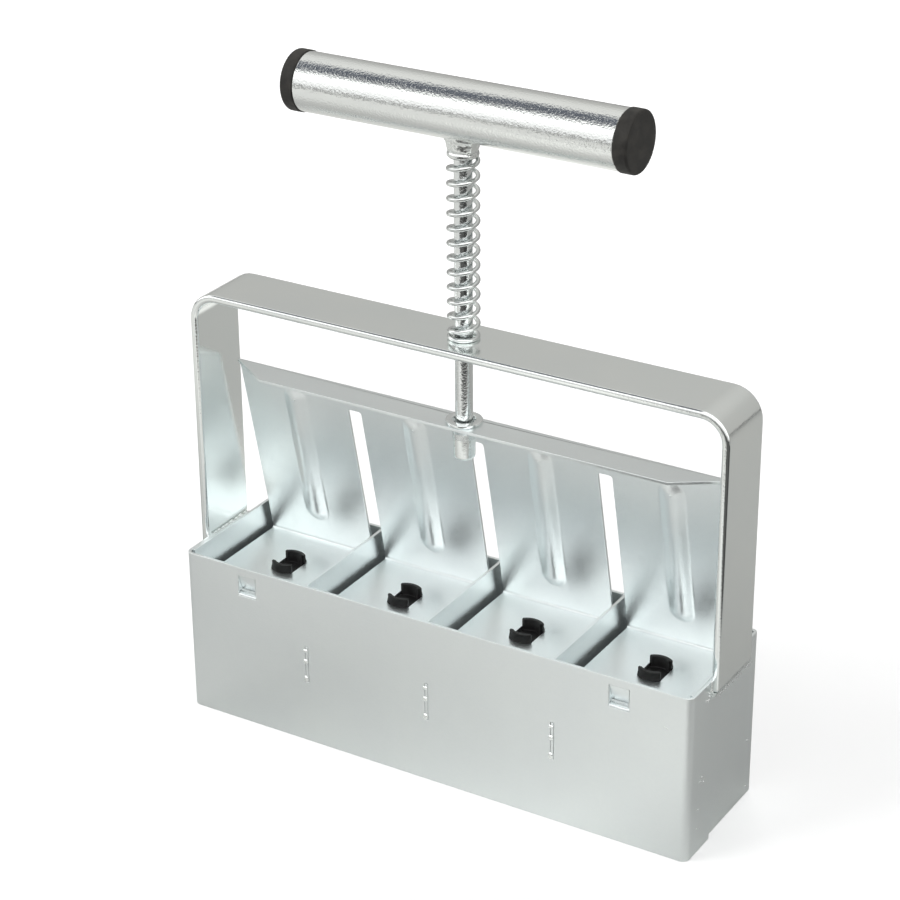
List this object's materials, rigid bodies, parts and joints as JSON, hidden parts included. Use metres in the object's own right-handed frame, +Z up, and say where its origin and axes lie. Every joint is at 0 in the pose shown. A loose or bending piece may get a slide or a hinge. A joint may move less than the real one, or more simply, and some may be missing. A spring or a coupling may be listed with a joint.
{
  "type": "soil blocker",
  "caption": "Hand-held soil blocker: a row of open metal cells under a bridge, with a sprung plunger and cross handle that press out cubes of potting soil.",
  "frame": {"origin": "on the ground at the centre of the box of cells, which is also the plunger rod's axis", "axes": "+X along the row of cells, towards the right of the picture; +Y from the front wall to the back wall, towards the sheet that the fins fold up from; +Z up, along the plunger rod"},
  "size_m": [0.2144, 0.0544, 0.2557],
  "materials": {
    "zinc_sheet": "bright zinc-plated sheet, glossy, faintly bluish",
    "zinc_bar": "bright zinc-plated bar and tube, satin with streaks along it",
    "weld_metal": "lumpy weld bead, zinc-plated over",
    "spring_wire": "smooth bright spring wire",
    "black_plastic": "moulded black plastic, semi-gloss"
  },
  "bodies": {
    "mould": {"front_panel": "zinc_sheet", "rear_panel": "zinc_sheet", "divider_1": "zinc_sheet", "divider_2": "zinc_sheet", "divider_3": "zinc_sheet", "bridge": "zinc_bar", "bridge_weld_left": "weld_metal", "bridge_weld_right": "weld_metal", "return_spring": "spring_wire"},
    "plunger": {"ejector": "zinc_sheet", "plunger_rod": "zinc_bar", "rod_washer": "zinc_bar", "rod_sleeve": "zinc_bar", "handle_tube": "zinc_bar", "sleeve_weld": "weld_metal", "handle_weld": "weld_metal", "end_cap_left": "black_plastic", "end_cap_right": "black_plastic", "dibber_1": "black_plastic", "dibber_2": "black_plastic", "dibber_3": "black_plastic", "dibber_4": "black_plastic"}
  },
  "joints": [
    {"name": "press", "type": "slide", "parent": "mould", "child": "plunger", "axis": [0, 0, -1], "range_m": [0, 0.043], "stiffness_N_per_m": 5900, "springref_m": -0.003, "deforming": ["return_spring"]}
  ]
}
